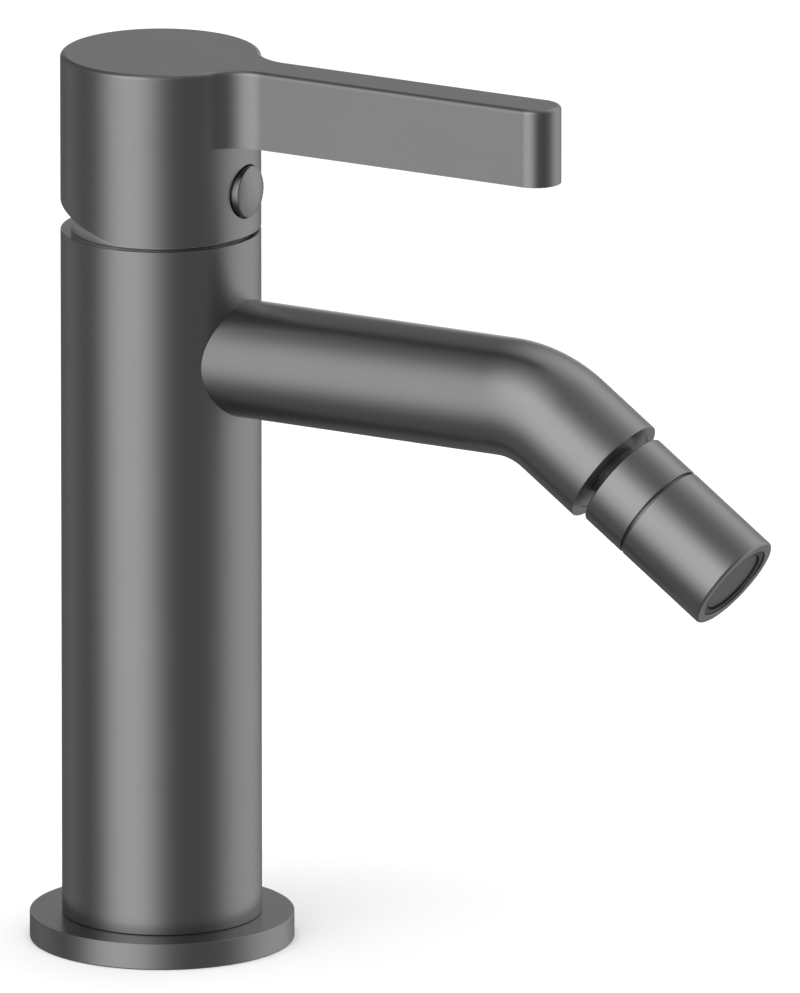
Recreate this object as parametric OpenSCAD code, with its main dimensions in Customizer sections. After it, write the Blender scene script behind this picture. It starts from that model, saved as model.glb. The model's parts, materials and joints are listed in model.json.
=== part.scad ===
// Bidet mixer: one lever on top, a round spout bent down, and a nozzle on a ball joint.
// Sizes are in millimetres. +Z is up, and +X runs along the spout and the lever.
// The origin is the centre of the base flange's underside, where it meets the deck.

/* [Base] */
// Outer diameter of the base flange
flange_d = 45; // [44:0.5:60]
// Height of the base flange
flange_h = 4.5; // [3.5:0.1:8]
// Distance from the flange's rim in to the deck seal
deck_seal_edge = 1.7; // [1.2:0.1:1.9]
// Width of the rubber deck seal
deck_seal_w = 2.5; // [1.5:0.1:2.7]
// Height of the rubber deck seal
deck_seal_h = 1.5; // [1:0.1:2]
// Height of the brass block in the foot of the column
block_h = 16; // [15.5:0.5:24]
// Distance of each hose hole in front of the centre
hose_x = 3.5; // [3:0.1:4]
// Distance of each hose hole to the side of the centre
hose_y = 5.6; // [5.4:0.1:6]
// Diameter of the threaded hose holes, measured at the thread's crests
hose_hole_d = 6.92; // [6:0.02:7.2]
// Depth of the threaded hose holes
hose_hole_depth = 8; // [6:0.5:8.5]
// Distance of the fixing stud's hole behind the centre
stud_x = 8; // [7.5:0.1:8.5]
// Diameter of the fixing stud's hole, measured at the thread's crests
stud_hole_d = 5; // [4.2:0.1:5.4]
// Depth of the fixing stud's hole
stud_hole_depth = 12; // [8:0.5:13]

/* [Column] */
// Outer diameter of the column and of the handle's cap
column_d = 34; // [33.5:0.5:40]
// Height of the column's top edge above the deck
column_top = 124; // [110:1:160]
// Wall of the column below the valve body
column_wall = 3; // [2.8:0.1:3.3]
// Wall of the column around the valve body
column_wall_top = 2.2; // [2:0.1:2.4]
// Step at the column's foot, where it enters the flange
foot_step = 1; // [0.8:0.1:1.2]
// Clearance under the column's foot
foot_gap = 0.5; // [0.3:0.1:0.8]

/* [Spout] */
// Outer diameter of the spout
spout_d = 20; // [19:0.5:21]
// Wall of the spout
spout_wall = 2.5; // [2.4:0.1:2.8]
// Wall of the spout at its threaded end
spout_lip = 2; // [1.8:0.1:2.1]
// Wall of the spigot that enters the column
spigot_wall = 1.5; // [1.2:0.1:1.8]
// Height from the spout's axis up to the column's top edge
spout_below_top = 20.6; // [20.4:0.2:23]
// Distance from the column's axis to the corner where the spout's two centre lines meet
spout_reach = 73.5; // [62:0.5:95]
// Angle by which the spout's end points down
spout_drop = 35; // [25:1:42]
// Radius of the spout's bend along its centre line
bend_r = 19; // [14:0.5:23]
// Distance from that corner to the spout's end face
spout_tip = 18.05; // [17.5:0.05:26]
// Amount that the straight end is turned down after bending, on the radius
end_turned = 0.01; // [0.01:0.01:0.05]

/* [Ball joint] */
// Gap between the spout's end and the collar
swivel_gap = 2; // [1.9:0.1:2.4]
// Diameter of the ball
ball_d = 14.4; // [14.2:0.1:14.5]
// Distance from the collar's rear face to the ball's centre
ball_set = 3.55; // [3.5:0.05:3.7]
// Length of the ball in front of its centre
ball_front = 4.45; // [4.2:0.05:4.6]
// Diameter of the ball's neck
neck_d = 9; // [8.8:0.1:9.1]
// Diameter of the water way through the ball
ball_bore_d = 6; // [5:0.2:6.4]
// Diameter of the hole in the collar's rear lip
lip_hole_d = 13; // [12.9:0.1:13.2]
// Thickness of the collar's rear lip
lip_h = 1.35; // [1.2:0.05:1.5]
// Radial clearance between the ball and its seats
ball_gap = 0.07; // [0.05:0.01:0.1]
// Length of the threaded adaptor in the spout's end
adaptor_l = 7.6; // [7:0.1:7.9]
// Depth of the adaptor below the spout's end face
adaptor_recess = 0.1; // [0.1:0.1:0.8]
// Thickness of the flat washer behind the adaptor
adaptor_washer_h = 1; // [0.8:0.1:1.2]
// Thickness of the retaining clip on the ball's neck
clip_h = 0.8; // [0.6:0.1:0.9]

/* [Nozzle] */
// Outer diameter of the collar and the nozzle
nozzle_d = 18; // [17.8:0.1:20]
// Length of the collar
collar_l = 8.3; // [8:0.1:9]
// Width of the groove between the collar and the nozzle
collar_groove = 0.5; // [0.3:0.1:1]
// Depth of that groove
collar_groove_depth = 0.8; // [0.5:0.1:0.9]
// Length of the nozzle
nozzle_l = 17.8; // [17:0.1:24]
// Radius of the nozzle's rounded end edge
nozzle_edge_r = 0.5; // [0.4:0.1:1.3]
// Inner diameter of the nozzle at its end
nozzle_bore_d = 14.3; // [14.2:0.1:14.4]
// Wall of the aerator's housing at its end
aerator_rim = 1; // [0.9:0.05:1.1]
// Depth of the aerator's rim below the nozzle's end
aerator_recess = 0.25; // [0.1:0.05:0.5]
// Depth of the outlet disc below the nozzle's end
outlet_recess = 0.6; // [0.3:0.1:1]
// Diameter of the outlet disc, inside the ring gap the water leaves by
outlet_d = 11.6; // [11:0.1:11.8]
// Thickness of the outlet disc
outlet_disc_h = 1; // [0.8:0.1:1.4]
// Depth of the outlet's ring gap below the nozzle's end
outlet_ledge = 2.75; // [2.6:0.05:3.4]
// Wall of the aerator's housing around the flow parts
aerator_wall = 1.15; // [1.1:0.05:1.2]
// Diameter of each hole in the flow straightener
straightener_hole_d = 1.7; // [1.2:0.1:1.8]
// Spacing of the holes in the flow straightener
straightener_pitch = 2.4; // [2.2:0.1:2.4]
// Thickness of the flow straightener
straightener_h = 4.2; // [3:0.1:4.6]
// Thickness of the flow regulator
regulator_h = 2.4; // [1.8:0.1:2.6]
// Thickness of the air screen
screen_h = 0.6; // [0.4:0.1:0.8]

/* [Handle] */
// Gap between the column and the handle
handle_gap = 0.8; // [0.6:0.1:1.5]
// Height of the handle's cap
handle_h = 29.9; // [27:0.1:40]
// Radius of the rounded top edges
handle_edge_r = 0.8; // [0.5:0.1:1.8]
// Wall of the cap's skirt
skirt_wall = 1.1; // [1:0.05:1.2]
// Thickness of the cap's top
cap_top_h = 3.2; // [2.4:0.1:5]
// Width of the lever's arm
lever_w = 8.8; // [7:0.2:12]
// Height of the lever's arm
lever_h = 13.4; // [8:0.2:14]
// Distance from the column's axis to the lever's end
lever_reach = 77.4; // [60:0.5:110]
// Radius of the hollow curves between the arm and the cap
root_r = 9; // [5:0.5:12]
// Extra depth that the hollow curves are milled to
root_step = 0.01; // [0.01:0.01:0.05]
// Distance in front of the centre where the rear cut under the skirt starts
rear_cut_x = 1; // [0:0.1:1.5]
// Slope of the rear cut under the skirt
rear_cut_angle = 16.2; // [16:0.1:18]
// Largest lift of the lever
lift_max = 17; // [12:0.5:17]

/* [Handle fixing] */
// Height of the set screw above the column's top edge
screw_above_top = 8.5; // [8.4:0.1:9.5]
// Diameter of the set screw
screw_d = 5; // [4:0.5:5]
// Length of the set screw
screw_l = 5; // [4:0.5:6]
// Width of the set screw's hexagon socket
screw_hex = 2.5; // [2:0.5:2.5]
// Diameter of the boss inside the cap
boss_d = 14; // [13.4:0.2:14.4]
// Height of the boss's lower end above the column's top edge
boss_above_top = 5.7; // [5.6:0.1:5.9]
// Width of the cartridge stem's square head
stem_w = 8; // [7.4:0.2:8]
// Length of the square head
stem_head_l = 12.4; // [10:0.2:14]
// Diameter of the cover plug's head
plug_d = 8.8; // [8:0.2:8.8]
// Diameter of the recess around the plug's head
plug_recess_d = 9.1; // [9:0.1:9.4]
// Distance from the cap's surface in to the recess's floor
plug_recess_depth = 0.9; // [0.7:0.05:1]
// Height of the plug's head at its edge
plug_edge_h = 1.5; // [1.2:0.1:1.7]
// Height of the dome on the plug's head
plug_dome_h = 0.95; // [0.6:0.05:1.2]
// Diameter of the plug's shank
plug_shank_d = 7; // [5.6:0.2:7.4]
// Length of the plug's shank
plug_shank_l = 2.1; // [1.6:0.1:2.4]

/* [Valve] */
// Outer diameter of the cartridge
cartridge_d = 25; // [24.6:0.1:25.1]
// Distance from the column's top edge down to the cartridge's floor
cartridge_depth = 17.5; // [17:0.1:19]
// Height of the pivot's axis below the column's top edge
pivot_below_top = 2; // [1.7:0.1:2.2]
// Wall of the cartridge's housing
housing_wall = 1.3; // [1.2:0.05:1.5]
// Thickness of the cartridge's base plate
plate_h = 2.5; // [2.4:0.1:3]
// Thickness of the fixed ceramic disc
fixed_disc_h = 2.8; // [2.5:0.1:3.2]
// Thickness of the moving ceramic disc
moving_disc_h = 2.2; // [2:0.1:2.5]
// Diameter of the moving ceramic disc
moving_disc_d = 17.6; // [17.2:0.1:17.8]
// Thickness of the disc's carrier
carrier_h = 2; // [1.8:0.1:2.2]
// Thickness of the rotor's flange
rotor_flange_h = 1.5; // [1.4:0.1:1.8]
// Thickness of the housing's roof
roof_h = 1.5; // [1.2:0.1:1.8]
// Diameter of the rotor's barrel
rotor_d = 18.4; // [18:0.1:18.6]
// Wall of the housing's neck
neck_wall = 1.1; // [1:0.05:1.2]
// Height of the rotor's top above the column's top edge
rotor_above_top = 2; // [1.8:0.1:2.1]
// Largest turn of the lever to each side
turn_max = 50; // [40:1:55]
// Diameter of the pivot pin
pin_d = 2.5; // [2:0.1:2.6]
// Thickness of the cartridge stem's blade
blade_t = 5; // [4.4:0.1:5.4]
// Width of the cartridge stem's blade
blade_w = 6; // [5.6:0.1:6.4]
// Diameter of the ball at the stem's lower tip
tip_d = 2.8; // [2.4:0.1:2.8]
// Width across the flats of the retaining nut's hexagon
nut_hex = 23; // [22.4:0.1:23.4]
// Height of the retaining nut's hexagon
nut_hex_h = 1.6; // [1.2:0.1:1.7]
// Outer diameter of the cover over the nut
cover_d = 30.4; // [30.2:0.1:30.6]
// Height of the cover over the nut
cover_h = 2.9; // [2.8:0.05:3]
// Diameter of the ports through the discs
port_d = 3.6; // [3.2:0.1:3.8]
// Distance of the outlet port behind the centre
outlet_x = 5.2; // [5:0.1:5.4]
// Diameter of the outlet port
outlet_port_d = 4.8; // [4.4:0.1:5]
// Diameter of the cross bore that leads to the spout
cross_bore_d = 5.2; // [4.4:0.1:5.4]
// Distance from the cartridge's floor down to the cross bore's axis
cross_bore_drop = 6; // [5.4:0.1:6.2]
// Height of the valve body below the spout
body_tail = 5.4; // [5:0.1:7]
// Distance from the column's top edge down to the valve body
body_below_top = 6; // [5.6:0.1:6.2]
// Outer diameter of the copper inlet tubes
tube_d = 6; // [5.4:0.1:6.1]
// Wall of the copper inlet tubes
tube_wall = 0.8; // [0.7:0.1:1]
// Depth of the sockets that hold the tubes
socket_depth = 6; // [5:0.5:6]

/* [Seals and fits] */
// Radial clearance of parts that fit into one another
fit_gap = 0.05; // [0.03:0.01:0.08]
// Clearance between a rubber ring and its groove
seal_gap = 0.02; // [0.01:0.01:0.04]
// End play of the cartridge's turning parts
play = 0.1; // [0.08:0.01:0.15]
// Gap between the two ceramic discs
disc_gap = 0.02; // [0.01:0.01:0.03]
// Depth of the grooves for the large rubber rings
ring_large = 1.2; // [1:0.05:1.25]
// Depth of the grooves for the small rubber rings
ring_small = 1.1; // [0.9:0.05:1.2]
// Extra width of every groove over its rubber ring
ring_slack = 0.3; // [0.2:0.05:0.4]

/* [Hidden] */
$fn = 64;

// How far a cutting shape runs past the face it cuts
over = 1;

brushed = [0.42, 0.41, 0.42];
brass = [0.78, 0.66, 0.38];
copper = [0.75, 0.45, 0.3];
rubber = [0.1, 0.1, 0.1];
ceramic = [0.9, 0.88, 0.84];
plastic = [0.25, 0.27, 0.3];
white_plastic = [0.85, 0.85, 0.83];
steel = [0.7, 0.71, 0.73];

// Radii of the column and its bores
col_r = column_d / 2;
bore_low_r = col_r - column_wall;
bore_top_r = col_r - column_wall_top;
foot_r = col_r - foot_step;
block_r = bore_low_r - fit_gap;
body_r = bore_top_r - fit_gap;

// Heights of the spout and the valve body
spout_r = spout_d / 2;
spout_z = column_top - spout_below_top;
spout_bore_r = spout_r - spout_wall;
spigot_r = spout_bore_r + spigot_wall;
body_ring_drop = 0.2;
body_ring_rim = 1.3;
body_z0 = spout_z - spout_r - body_tail;
body_z1 = column_top - body_below_top;
body_ring_low_z = (body_z0 + spout_z - spigot_r) / 2 - body_ring_drop;
body_ring_high_z = spout_z + spigot_r + ring_large + ring_slack + body_ring_rim;

// Heights in the cartridge, from its floor up
cart_r = cartridge_d / 2;
cart_in_r = cart_r - housing_wall;
floor_z = column_top - cartridge_depth;
plate_z1 = floor_z + plate_h;
fixed_z1 = plate_z1 + fixed_disc_h;
moving_z0 = fixed_z1 + disc_gap;
moving_z1 = moving_z0 + moving_disc_h;
carrier_z1 = moving_z1 + carrier_h;
rotor_z0 = carrier_z1 + play;
rotor_step_z = rotor_z0 + rotor_flange_h;
roof_z0 = rotor_step_z + play;
shoulder_z = roof_z0 + roof_h;
rotor_z1 = column_top + rotor_above_top;
neck_rise = 0.2;
neck_z1 = rotor_z1 + neck_rise;
rotor_r = rotor_d / 2;
housing_neck_r = rotor_r + fit_gap + neck_wall;
cross_z = floor_z - cross_bore_drop;
gallery_half = 4;
gallery_depth = 1.6;
pivot_z = column_top - pivot_below_top;
tip_r = tip_d / 2;
tip_floor = 0.28;
tip_slack = 0.06;
tip_z = moving_z1 + tip_floor + tip_r;

// Locating pins between the plate, the valve body and the fixed disc
dowel_r = 0.9;
dowel_y = 9.9;
dowel_l = 1.5;

// Seals around the ports, above and below the plate
port_seal_in_r = 2.45;
port_seal_out_r = 3.3;
port_seal_h = 0.9;

// Pocket under the moving disc, and the sliding guides of its carrier
pocket_rim = 1.4;
pocket_front = 1;
pocket_h = 1.2;
lug_w = 3;
lug_l = 1.2;
lug_h = 1;
guide_y = 6;
guide_w = 2;
guide_h = 0.9;
guide_l = 12;

// Slot in the rotor that the stem swings in, wide enough for its tip in front and its blade behind
slot_w = blade_t + 2 * fit_gap;
slot_front = max(blade_w / 2, tip_r + (pivot_z - tip_z) * sin(lift_max)) + play;
slot_back = blade_w / 2 / cos(lift_max) + (rotor_z1 - pivot_z) * tan(lift_max) + play;

// The stem's leg stays inside the tip's round outline, also when it leans
leg_half = 0.64 * tip_r;
knuckle_step = 0.4;
knuckle_r = blade_w / 2 - knuckle_step;
pin_inset = 0.6;
pin_half = rotor_r - pin_inset;

// Turn stops between the rotor's flange and the housing
stop_w = 2;
stop_l = 1.6;
stop_spare_angle = 0.6;
rotor_flange_r = cart_in_r - play;
stop_half = turn_max + asin(stop_w / 2 / (cart_in_r - stop_l)) + stop_spare_angle;

// Cover over the nut
cover_wall = 1.2;
cover_lip = 0.6;
cover_sheet = 0.6;
cover_slope_w = 1;
cover_slope_h = 1.3;

// Handle
cap_z0 = column_top + handle_gap;
cap_z1 = cap_z0 + handle_h;
arm_z0 = cap_z1 - lever_h;
arm_half = lever_w / 2;
root_y = arm_half + root_r;
root_x = sqrt(pow(col_r + root_r, 2) - root_y * root_y);
skirt_in_r = col_r - skirt_wall;
cavity_z1 = cap_z1 - cap_top_h;
boss_z0 = column_top + boss_above_top;
screw_z = column_top + screw_above_top;
head_drop = 1.1;
head_spare = 0.4;
head_z0 = boss_z0 - head_drop;
head_z1 = head_z0 + stem_head_l;
pad_rim = 0.2;
pad_r = plug_recess_d / 2 + pad_rim;
recess_x = col_r - plug_recess_depth;
plug_edge_x = recess_x + plug_edge_h;
dome_r = (pow(plug_d / 2, 2) + plug_dome_h * plug_dome_h) / (2 * plug_dome_h);

// Positions along the nozzle's axis, measured from the spout's corner
bend_t = bend_r * tan(spout_drop / 2);
end_overlap = 0.3;
collar_s0 = spout_tip + swivel_gap;
collar_s1 = collar_s0 + collar_l;
nozzle_s0 = collar_s1 + collar_groove;
nozzle_s1 = nozzle_s0 + nozzle_l;
nozzle_r = nozzle_d / 2;
adaptor_s1 = spout_tip - adaptor_recess;
adaptor_s0 = adaptor_s1 - adaptor_l;
washer_s0 = adaptor_s0 - adaptor_washer_h;
washer_lip = 1;
adaptor_bore_r = spout_r - spout_lip;
adaptor_r = adaptor_bore_r - fit_gap;
chamber_wall = 2.6;
chamber_l = 2;
chamber_r = adaptor_r - chamber_wall;
chamber_s1 = adaptor_s0 + chamber_l;
neck_r = neck_d / 2;
neck_inset = 0.5;
neck_s0 = adaptor_s0 + neck_inset;
clip_inset = 0.4;
clip_depth = 0.5;
clip_clear = 0.4;
clip_opening = 2.4;
clip_s0 = neck_s0 + clip_inset;
clip_groove_r = neck_r - clip_depth;
neck_ring_s = (chamber_s1 + adaptor_s1) / 2;
ball_r = ball_d / 2;
ball_s = collar_s0 + ball_set;
ball_s1 = ball_s + ball_front;
seat_wall = 0.3;
collar_bore_r = ball_r + seat_wall;
seat_r = collar_bore_r - fit_gap;
seat_set = 1.3;
seat_front = 0.3;
seat_s0 = ball_s + seat_set;
seat_s1 = ball_s1 + seat_front;
seat_hole_r = 4.5;
spigot_out_r = nozzle_r - collar_groove_depth;
collar_spigot_l = 4.55;
spigot_s1 = nozzle_s0 + collar_spigot_l;
aerator_gap = 1.7;
aerator_s0 = seat_s1 + aerator_gap;
aerator_s1 = nozzle_s1 - aerator_recess;
nozzle_bore_r = nozzle_bore_d / 2;
aerator_r = nozzle_bore_r - fit_gap;
aerator_neck_r = collar_bore_r - fit_gap;
outlet_bore_r = aerator_r - aerator_rim;
flow_bore_r = aerator_r - aerator_wall;
ledge_s = nozzle_s1 - outlet_ledge;
aerator_step_h = 0.5;
aerator_lip = 1.6;
flow_s0 = spigot_s1 + aerator_step_h;
flow_r = flow_bore_r - fit_gap;
aerator_bore_r = flow_r - aerator_lip;
regulator_ring_r = 3;
regulator_hole_r = 0.8;
regulator_holes = 8;
screen_s0 = flow_s0 + regulator_h;
straightener_s0 = screen_s0 + screen_h;
outlet_s1 = nozzle_s1 - outlet_recess;
outlet_s0 = outlet_s1 - outlet_disc_h;

// A ring with a plain rectangular section
module ring(r_out, r_in, z0, z1) {
    rotate_extrude()
        translate([r_in, z0])
            square([r_out - r_in, z1 - z0]);
}

// A rubber ring that fills the space between two radii
module rubber_ring(r_in, r_out, z) {
    rotate_extrude()
        translate([(r_in + r_out) / 2, z])
            circle(r = (r_out - r_in) / 2 - seal_gap);
}

// The groove for such a rubber ring
module ring_groove(r_in, r_out, z) {
    half = (r_out - r_in + ring_slack) / 2;
    ring(r_out, r_in, z - half, z + half);
}

// A sector of a disc, from one angle to the other
module sector(r, z0, z1, a0, a1) {
    rotate([0, 0, a0])
        rotate_extrude(angle = a1 - a0)
            translate([0, z0])
                square([r, z1 - z0]);
}

// Both sides of the hot and cold ways
module both_ways() {
    for (side = [-1, 1])
        translate([hose_x, side * hose_y, 0])
            children();
}

// Moves a shape drawn along +Z onto the nozzle's axis
module on_nozzle_axis() {
    translate([spout_reach, 0, spout_z])
        rotate([0, 90 + spout_drop, 0])
            children();
}

// Turns a shape drawn along +Z to run along +X
module along_x() {
    rotate([0, 90, 0])
        children();
}

// A round bar that follows the spout's centre line
module spout_bar(r, x0, s1) {
    translate([x0, 0, spout_z])
        along_x()
            cylinder(r = r, h = spout_reach - bend_t - x0);
    translate([spout_reach - bend_t, 0, spout_z - bend_r])
        rotate([0, -90, -90])
            rotate_extrude(angle = spout_drop)
                translate([bend_r, 0])
                    circle(r = r);
    on_nozzle_axis()
        translate([0, 0, bend_t - end_overlap])
            cylinder(r = r - end_turned, h = s1 - bend_t + end_overlap);
}

module base_flange() {
    seal_r = flange_d / 2 - deck_seal_edge;
    color(brushed)
        difference() {
            ring(flange_d / 2, foot_r + fit_gap, 0, flange_h);
            ring(seal_r, seal_r - deck_seal_w, -over, deck_seal_h);
        }
}

module deck_seal() {
    seal_r = flange_d / 2 - deck_seal_edge;
    color(rubber)
        ring(seal_r - seal_gap, seal_r - deck_seal_w + seal_gap, 0, deck_seal_h);
}

module column() {
    color(brushed)
        difference() {
            union() {
                ring(foot_r, bore_low_r, foot_gap, flange_h);
                ring(col_r, bore_low_r, flange_h, body_z0);
                ring(col_r, bore_top_r, body_z0, column_top);
            }
            translate([0, 0, spout_z])
                along_x()
                    cylinder(r = spigot_r + fit_gap, h = col_r + over);
        }
}

module base_block() {
    color(brass)
        difference() {
            cylinder(r = block_r, h = block_h);
            both_ways() {
                translate([0, 0, -over])
                    cylinder(d = hose_hole_d, h = hose_hole_depth + over);
                cylinder(r = tube_d / 2 - tube_wall, h = block_h);
                translate([0, 0, block_h - socket_depth])
                    cylinder(r = tube_d / 2 + fit_gap, h = socket_depth + over);
                ring_groove(tube_d / 2 - over, tube_d / 2 + ring_small, block_h - socket_depth / 2);
            }
            translate([-stud_x, 0, -over])
                cylinder(d = stud_hole_d, h = stud_hole_depth + over);
            ring_groove(bore_low_r - ring_large, bore_low_r + over, block_h / 2);
        }
}

module base_block_ring() {
    color(rubber)
        rubber_ring(bore_low_r - ring_large, bore_low_r, block_h / 2);
}

module inlet_tube() {
    ring(tube_d / 2, tube_d / 2 - tube_wall, block_h - socket_depth, body_z0 + socket_depth);
}

module hot_inlet_tube() {
    color(copper)
        translate([hose_x, -hose_y, 0])
            inlet_tube();
}

module cold_inlet_tube() {
    color(copper)
        translate([hose_x, hose_y, 0])
            inlet_tube();
}

module tube_rings() {
    color(rubber)
        both_ways() {
            rubber_ring(tube_d / 2, tube_d / 2 + ring_small, block_h - socket_depth / 2);
            rubber_ring(tube_d / 2, tube_d / 2 + ring_small, body_z0 + socket_depth / 2);
        }
}

module valve_body() {
    color(brass)
        difference() {
            translate([0, 0, body_z0])
                cylinder(r = body_r, h = body_z1 - body_z0);
            translate([0, 0, floor_z])
                cylinder(r = cart_r + fit_gap, h = cartridge_depth);
            both_ways() {
                translate([0, 0, body_z0 - over])
                    cylinder(r = tube_d / 2 + fit_gap, h = socket_depth + over);
                ring_groove(tube_d / 2 - over, tube_d / 2 + ring_small, body_z0 + socket_depth / 2);
                translate([0, 0, body_z0])
                    cylinder(d = port_d, h = floor_z - body_z0 + over);
            }
            translate([-outlet_x, 0, cross_z])
                cylinder(d = outlet_port_d, h = cross_bore_drop + over);
            translate([-outlet_x, 0, cross_z])
                along_x()
                    cylinder(d = cross_bore_d, h = body_r + outlet_x + over);
            ring(body_r + over, body_r - gallery_depth, cross_z - gallery_half, cross_z + gallery_half);
            ring_groove(bore_top_r - ring_large, bore_top_r + over, body_ring_low_z);
            ring_groove(bore_top_r - ring_large, bore_top_r + over, body_ring_high_z);
            for (side = [-1, 1])
                translate([0, side * dowel_y, floor_z - dowel_l - play])
                    cylinder(r = dowel_r + fit_gap, h = dowel_l + play + over);
        }
}

module valve_body_rings() {
    color(rubber)
        for (z = [body_ring_low_z, body_ring_high_z])
            rubber_ring(bore_top_r - ring_large, bore_top_r, z);
}

module spout() {
    color(brushed)
        difference() {
            union() {
                difference() {
                    spout_bar(spout_r, 0, spout_tip);
                    cylinder(r = col_r, h = column_top);
                }
                difference() {
                    translate([bore_top_r / 2, 0, spout_z])
                        along_x()
                            cylinder(r = spigot_r, h = col_r - bore_top_r / 2 + over);
                    cylinder(r = bore_top_r, h = column_top);
                }
            }
            spout_bar(spout_bore_r, 0, spout_tip - over / 2);
            on_nozzle_axis()
                translate([0, 0, washer_s0])
                    cylinder(r = adaptor_bore_r, h = spout_tip - washer_s0 + over);
        }
}

module adaptor_washer() {
    color(rubber)
        on_nozzle_axis()
            ring(adaptor_r, spout_bore_r - washer_lip, washer_s0, adaptor_s0);
}

module spout_adaptor() {
    color(brass)
        on_nozzle_axis()
            difference() {
                ring(adaptor_r, neck_r + fit_gap, adaptor_s0, adaptor_s1);
                ring(chamber_r, neck_r - over, adaptor_s0 - over, chamber_s1);
                ring_groove(neck_r - over, neck_r + ring_small, neck_ring_s);
            }
}

module neck_ring() {
    color(rubber)
        on_nozzle_axis()
            rubber_ring(neck_r, neck_r + ring_small, neck_ring_s);
}

module cartridge_plate() {
    color(plastic)
        difference() {
            union() {
                ring(cart_r, 0, floor_z, plate_z1);
                for (side = [-1, 1])
                    translate([0, side * dowel_y, floor_z - dowel_l])
                        cylinder(r = dowel_r, h = 2 * dowel_l + plate_h);
            }
            both_ways()
                seal_ways(port_d);
            translate([-outlet_x, 0, 0])
                seal_ways(outlet_port_d);
        }
}

// The hole for one port in the plate, with a recess for a seal at each end
module seal_ways(d) {
    translate([0, 0, floor_z - over])
        cylinder(d = d, h = plate_h + 2 * over);
    translate([0, 0, floor_z - over])
        cylinder(r = port_seal_out_r, h = port_seal_h + over);
    translate([0, 0, plate_z1 - port_seal_h])
        cylinder(r = port_seal_out_r, h = port_seal_h + over);
}

// The two seals of one port
module seal_pair() {
    for (z = [floor_z, plate_z1 - port_seal_h])
        ring(port_seal_out_r - seal_gap, port_seal_in_r, z, z + port_seal_h);
}

module port_seals() {
    color(rubber) {
        both_ways()
            seal_pair();
        translate([-outlet_x, 0, 0])
            seal_pair();
    }
}

module fixed_disc() {
    color(ceramic)
        difference() {
            ring(cart_in_r - fit_gap, 0, plate_z1, fixed_z1);
            both_ways()
                translate([0, 0, plate_z1 - over])
                    cylinder(d = port_d, h = fixed_disc_h + 2 * over);
            translate([-outlet_x, 0, plate_z1 - over])
                cylinder(d = outlet_port_d, h = fixed_disc_h + 2 * over);
            for (side = [-1, 1])
                translate([0, side * dowel_y, plate_z1 - over])
                    cylinder(r = dowel_r + fit_gap, h = dowel_l + play + over);
        }
}

module cartridge_housing() {
    color(white_plastic) {
        ring(cart_r, cart_in_r, plate_z1, roof_z0);
        ring(cart_r, rotor_r + fit_gap, roof_z0, shoulder_z);
        ring(housing_neck_r, rotor_r + fit_gap, shoulder_z, neck_z1);
        turn_stop();
    }
}

// The lug on the housing's inside that limits the turn
module turn_stop() {
    intersection() {
        translate([-cart_in_r - housing_wall / 2, -stop_w / 2, rotor_z0])
            cube([stop_l + housing_wall / 2, stop_w, roof_z0 - rotor_z0]);
        ring(cart_in_r + housing_wall / 2, 0, rotor_z0, roof_z0);
    }
}

module retaining_nut() {
    color(brass)
        difference() {
            union() {
                translate([0, 0, shoulder_z])
                    cylinder(r = body_r, h = column_top - shoulder_z);
                translate([0, 0, column_top])
                    cylinder(d = nut_hex / cos(30), h = nut_hex_h, $fn = 6);
            }
            translate([0, 0, shoulder_z - over])
                cylinder(r = housing_neck_r + fit_gap, h = cartridge_depth);
        }
}

module nut_cover() {
    out_r = cover_d / 2;
    in_r = out_r - cover_wall;
    hole_r = housing_neck_r - cover_lip;
    color(brushed)
        translate([0, 0, column_top])
            rotate_extrude()
                polygon([
                    [in_r, 0], [out_r, 0], [out_r, cover_h - cover_slope_h],
                    [out_r - cover_slope_w, cover_h], [hole_r, cover_h],
                    [hole_r, cover_h - cover_sheet], [in_r - cover_sheet, cover_h - cover_sheet],
                    [in_r, cover_h - cover_sheet - cover_slope_w]
                ]);
}

module cartridge_rotor() {
    slot_l = slot_front + slot_back;
    color(plastic)
        difference() {
            union() {
                ring(rotor_flange_r, 0, rotor_z0, rotor_step_z);
                ring(rotor_r, 0, rotor_step_z, rotor_z1);
            }
            difference() {
                sector(cart_r, rotor_z0 - over, rotor_step_z, 180 - stop_half, 180 + stop_half);
                ring(cart_in_r - stop_l - play, 0, rotor_z0 - 2 * over, rotor_step_z + over);
            }
            translate([-slot_back, -slot_w / 2, rotor_z0 - over])
                cube([slot_l, slot_w, rotor_z1 - rotor_z0 + 2 * over]);
            translate([0, 0, pivot_z])
                rotate([90, 0, 0])
                    cylinder(r = pin_d / 2 + seal_gap, h = 2 * rotor_r + 2 * over, center = true);
            for (side = [-1, 1])
                translate([0, side * guide_y, rotor_z0 + guide_h / 2])
                    cube([3 * cart_r, guide_w + 2 * fit_gap, guide_h + 2 * play], center = true);
        }
}

module pivot_pin() {
    color(steel)
        translate([0, 0, pivot_z])
            rotate([90, 0, 0])
                cylinder(d = pin_d, h = 2 * pin_half, center = true);
}

module moving_disc() {
    r = moving_disc_d / 2;
    color(ceramic)
        difference() {
            ring(r, 0, moving_z0, moving_z1);
            intersection() {
                translate([0, 0, moving_z0 - over])
                    cylinder(r = r - pocket_rim, h = pocket_h + over);
                translate([pocket_front - 2 * r, -r, moving_z0 - over])
                    cube([2 * r, 2 * r, pocket_h + 2 * over]);
            }
            for (side = [-1, 1])
                translate([0, side * r, moving_z1])
                    cube([lug_w + 2 * fit_gap, 2 * (lug_l + fit_gap), 2 * lug_h], center = true);
        }
}

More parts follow.
